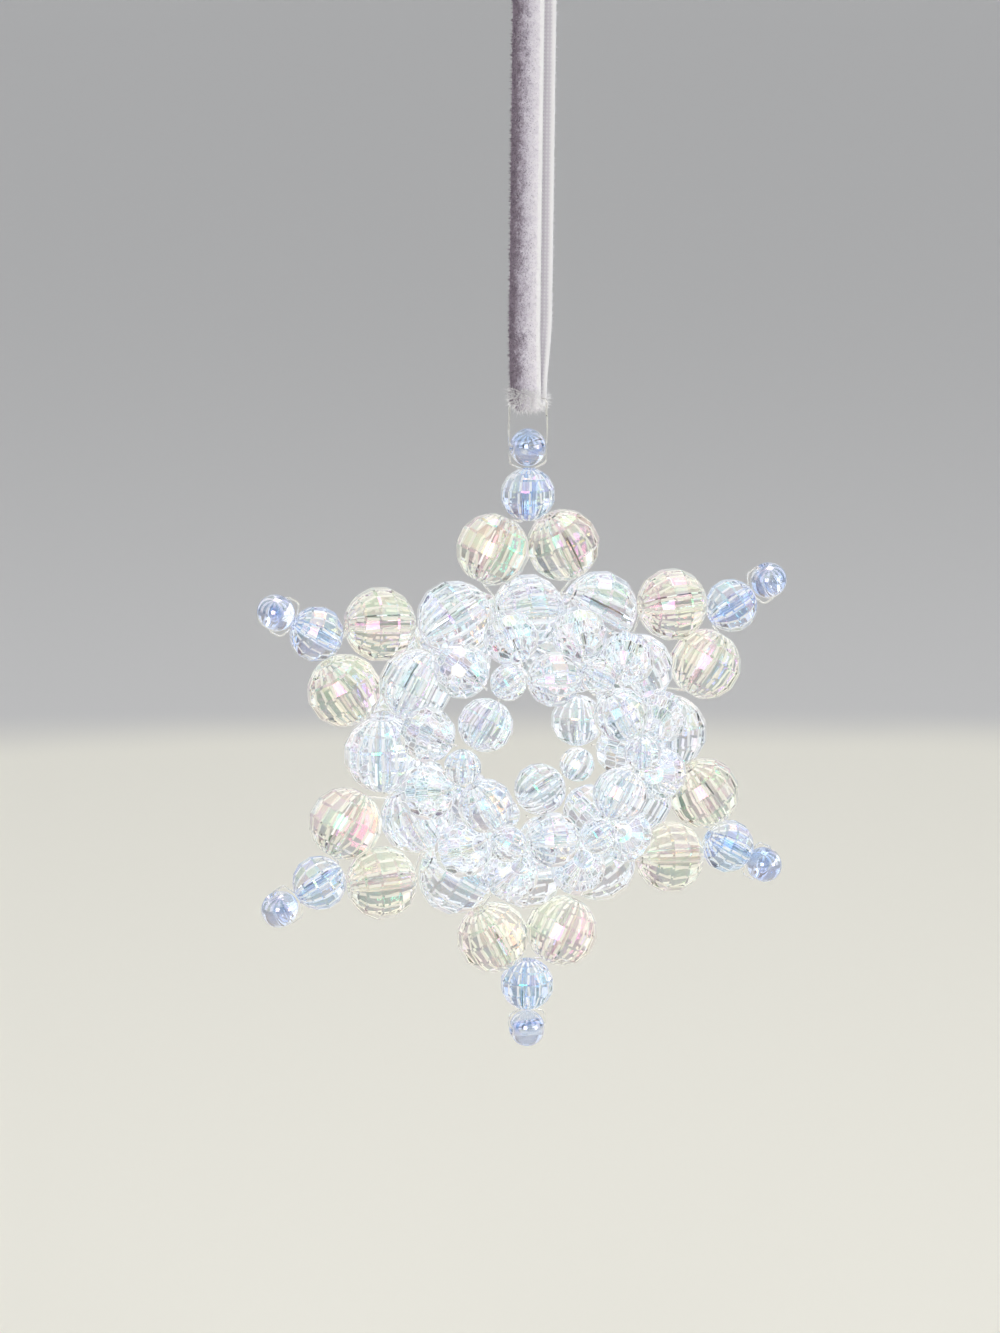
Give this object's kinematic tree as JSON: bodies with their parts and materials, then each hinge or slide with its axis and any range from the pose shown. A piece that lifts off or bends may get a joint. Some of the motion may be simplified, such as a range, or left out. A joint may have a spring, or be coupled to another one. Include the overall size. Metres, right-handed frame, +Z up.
{
  "type": "beaded star ornament",
  "caption": "Flat star of faceted clear, cream and blue acrylic beads woven on nylon line round an open ring centre, hung from a folded velvet ribbon.",
  "frame": {"origin": "where a hook holds the ribbon, between its two strands and under its knot", "axes": "+X to the viewer's right across the star, +Y through the star from its front to its back, +Z up along the hanging ribbon"},
  "size_m": [0.0608, 0.0226, 0.1323],
  "materials": {
    "clear_acrylic": "clear faceted acrylic with an iridescent coating",
    "cream_acrylic": "champagne faceted acrylic with an iridescent coating",
    "pale_blue_acrylic": "pale blue faceted acrylic",
    "blue_acrylic": "smooth round blue acrylic with an iridescent coating",
    "nylon_line": "translucent nylon monofilament",
    "velvet": "mauve-grey narrow velvet ribbon"
  },
  "bodies": {
    "hanger": {"ribbon": "velvet", "ribbon_knot": "velvet"},
    "loop": {"hanging_loop": "nylon_line"},
    "point_1": {"point_line_1": "nylon_line"},
    "core": {"base_bead_1": "clear_acrylic", "base_bead_2": "clear_acrylic", "base_bead_3": "clear_acrylic", "base_bead_4": "clear_acrylic", "base_bead_5": "clear_acrylic", "base_bead_6": "clear_acrylic", "valley_bead_1": "clear_acrylic", "valley_bead_2": "clear_acrylic", "valley_bead_3": "clear_acrylic", "valley_bead_4": "clear_acrylic", "valley_bead_5": "clear_acrylic", "valley_bead_6": "clear_acrylic", "front_pair_1": "clear_acrylic", "front_pair_2": "clear_acrylic", "front_pair_3": "clear_acrylic", "front_pair_4": "clear_acrylic", "front_pair_5": "clear_acrylic", "front_pair_6": "clear_acrylic", "back_pair_1": "clear_acrylic", "back_pair_2": "clear_acrylic", "back_pair_3": "clear_acrylic", "back_pair_4": "clear_acrylic", "back_pair_5": "clear_acrylic", "back_pair_6": "clear_acrylic", "front_ring": "clear_acrylic", "back_ring": "clear_acrylic"},
    "point_2": {"point_line_2": "nylon_line"},
    "point_3": {"point_line_3": "nylon_line"},
    "point_4": {"point_line_4": "nylon_line"},
    "point_5": {"point_line_5": "nylon_line"},
    "point_6": {"point_line_6": "nylon_line"},
    "tip_1": {"tip_bead_1": "blue_acrylic"},
    "middle_1": {"point_bead_1": "pale_blue_acrylic"},
    "cream_1_left": {"cream_bead_1_left": "cream_acrylic"},
    "cream_1_right": {"cream_bead_1_right": "cream_acrylic"},
    "tip_2": {"tip_bead_2": "blue_acrylic"},
    "middle_2": {"point_bead_2": "pale_blue_acrylic"},
    "cream_2_left": {"cream_bead_2_left": "cream_acrylic"},
    "cream_2_right": {"cream_bead_2_right": "cream_acrylic"},
    "tip_3": {"tip_bead_3": "blue_acrylic"},
    "middle_3": {"point_bead_3": "pale_blue_acrylic"},
    "cream_3_left": {"cream_bead_3_left": "cream_acrylic"},
    "cream_3_right": {"cream_bead_3_right": "cream_acrylic"},
    "tip_4": {"tip_bead_4": "blue_acrylic"},
    "middle_4": {"point_bead_4": "pale_blue_acrylic"},
    "cream_4_left": {"cream_bead_4_left": "cream_acrylic"},
    "cream_4_right": {"cream_bead_4_right": "cream_acrylic"},
    "tip_5": {"tip_bead_5": "blue_acrylic"},
    "middle_5": {"point_bead_5": "pale_blue_acrylic"},
    "cream_5_left": {"cream_bead_5_left": "cream_acrylic"},
    "cream_5_right": {"cream_bead_5_right": "cream_acrylic"},
    "tip_6": {"tip_bead_6": "blue_acrylic"},
    "middle_6": {"point_bead_6": "pale_blue_acrylic"},
    "cream_6_left": {"cream_bead_6_left": "cream_acrylic"},
    "cream_6_right": {"cream_bead_6_right": "cream_acrylic"}
  },
  "joints": [
    {"name": "loop_swing", "type": "hinge", "parent": "hanger", "child": "loop", "pos_m": [0, 0, -0.05476], "axis": [0.6561, -0.7547, 0], "range_deg": [-45, 45]},
    {"name": "star_swing", "type": "hinge", "parent": "loop", "child": "point_1", "pos_m": [0, 0, -0.06016], "axis": [1, 0, 0], "range_deg": [-45, 45]},
    {"name": "point_1_rock", "type": "hinge", "parent": "point_1", "child": "core", "pos_m": [0, 0, -0.07816], "axis": [1, 0, 0], "range_deg": [-20, 20], "stiffness_Nm_per_rad": 0.004},
    {"name": "point_2_rock", "type": "hinge", "parent": "core", "child": "point_2", "pos_m": [0.01285, 0, -0.08558], "axis": [0.5, 0, -0.866], "range_deg": [-20, 20], "stiffness_Nm_per_rad": 0.004},
    {"name": "point_3_rock", "type": "hinge", "parent": "core", "child": "point_3", "pos_m": [0.01285, 0, -0.10042], "axis": [-0.5, 0, -0.866], "range_deg": [-20, 20], "stiffness_Nm_per_rad": 0.004},
    {"name": "point_4_rock", "type": "hinge", "parent": "core", "child": "point_4", "pos_m": [0, 0, -0.10784], "axis": [-1, 0, 0], "range_deg": [-20, 20], "stiffness_Nm_per_rad": 0.004},
    {"name": "point_5_rock", "type": "hinge", "parent": "core", "child": "point_5", "pos_m": [-0.01285, 0, -0.10042], "axis": [-0.5, 0, 0.866], "range_deg": [-20, 20], "stiffness_Nm_per_rad": 0.004},
    {"name": "point_6_rock", "type": "hinge", "parent": "core", "child": "point_6", "pos_m": [-0.01285, 0, -0.08558], "axis": [0.5, 0, 0.866], "range_deg": [-20, 20], "stiffness_Nm_per_rad": 0.004},
    {"name": "tip_1_spin", "type": "hinge", "parent": "point_1", "child": "tip_1", "pos_m": [0, 0, -0.06016], "axis": [1, 0, 0], "continuous": true},
    {"name": "middle_1_spin", "type": "hinge", "parent": "point_1", "child": "middle_1", "pos_m": [0, 0, -0.06531], "axis": [0, 0, 1], "continuous": true},
    {"name": "cream_1_left_spin", "type": "hinge", "parent": "point_1", "child": "cream_1_left", "pos_m": [-0.00405, 0, -0.07114], "axis": [0.454, 0, 0.891], "continuous": true},
    {"name": "cream_1_right_spin", "type": "hinge", "parent": "point_1", "child": "cream_1_right", "pos_m": [0.00405, 0, -0.07114], "axis": [-0.454, 0, 0.891], "continuous": true},
    {"name": "tip_2_spin", "type": "hinge", "parent": "point_2", "child": "tip_2", "pos_m": [0.02844, 0, -0.07658], "axis": [0.5, 0, -0.866], "continuous": true},
    {"name": "middle_2_spin", "type": "hinge", "parent": "point_2", "child": "middle_2", "pos_m": [0.02398, 0, -0.07916], "axis": [0.866, 0, 0.5], "continuous": true},
    {"name": "cream_2_left_spin", "type": "hinge", "parent": "point_2", "child": "cream_2_left", "pos_m": [0.0169, 0, -0.07856], "axis": [0.9986, 0, 0.0523], "continuous": true},
    {"name": "cream_2_right_spin", "type": "hinge", "parent": "point_2", "child": "cream_2_right", "pos_m": [0.02095, 0, -0.08558], "axis": [0.5446, 0, 0.8387], "continuous": true},
    {"name": "tip_3_spin", "type": "hinge", "parent": "point_3", "child": "tip_3", "pos_m": [0.02844, 0, -0.10942], "axis": [-0.5, 0, -0.866], "continuous": true},
    {"name": "middle_3_spin", "type": "hinge", "parent": "point_3", "child": "middle_3", "pos_m": [0.02398, 0, -0.10684], "axis": [0.866, 0, -0.5], "continuous": true},
    {"name": "cream_3_left_spin", "type": "hinge", "parent": "point_3", "child": "cream_3_left", "pos_m": [0.02095, 0, -0.10042], "axis": [0.5446, 0, -0.8387], "continuous": true},
    {"name": "cream_3_right_spin", "type": "hinge", "parent": "point_3", "child": "cream_3_right", "pos_m": [0.0169, 0, -0.10744], "axis": [0.9986, 0, -0.0523], "continuous": true},
    {"name": "tip_4_spin", "type": "hinge", "parent": "point_4", "child": "tip_4", "pos_m": [0, 0, -0.12584], "axis": [-1, 0, 0], "continuous": true},
    {"name": "middle_4_spin", "type": "hinge", "parent": "point_4", "child": "middle_4", "pos_m": [0, 0, -0.12069], "axis": [0, 0, -1], "continuous": true},
    {"name": "cream_4_left_spin", "type": "hinge", "parent": "point_4", "child": "cream_4_left", "pos_m": [0.00405, 0, -0.11486], "axis": [-0.454, 0, -0.891], "continuous": true},
    {"name": "cream_4_right_spin", "type": "hinge", "parent": "point_4", "child": "cream_4_right", "pos_m": [-0.00405, 0, -0.11486], "axis": [0.454, 0, -0.891], "continuous": true},
    {"name": "tip_5_spin", "type": "hinge", "parent": "point_5", "child": "tip_5", "pos_m": [-0.02844, 0, -0.10942], "axis": [-0.5, 0, 0.866], "continuous": true},
    {"name": "middle_5_spin", "type": "hinge", "parent": "point_5", "child": "middle_5", "pos_m": [-0.02398, 0, -0.10684], "axis": [-0.866, 0, -0.5], "continuous": true},
    {"name": "cream_5_left_spin", "type": "hinge", "parent": "point_5", "child": "cream_5_left", "pos_m": [-0.0169, 0, -0.10744], "axis": [-0.9986, 0, -0.0523], "continuous": true},
    {"name": "cream_5_right_spin", "type": "hinge", "parent": "point_5", "child": "cream_5_right", "pos_m": [-0.02095, 0, -0.10042], "axis": [-0.5446, 0, -0.8387], "continuous": true},
    {"name": "tip_6_spin", "type": "hinge", "parent": "point_6", "child": "tip_6", "pos_m": [-0.02844, 0, -0.07658], "axis": [0.5, 0, 0.866], "continuous": true},
    {"name": "middle_6_spin", "type": "hinge", "parent": "point_6", "child": "middle_6", "pos_m": [-0.02398, 0, -0.07916], "axis": [-0.866, 0, 0.5], "continuous": true},
    {"name": "cream_6_left_spin", "type": "hinge", "parent": "point_6", "child": "cream_6_left", "pos_m": [-0.02095, 0, -0.08558], "axis": [-0.5446, 0, 0.8387], "continuous": true},
    {"name": "cream_6_right_spin", "type": "hinge", "parent": "point_6", "child": "cream_6_right", "pos_m": [-0.0169, 0, -0.07856], "axis": [-0.9986, 0, 0.0523], "continuous": true}
  ]
}
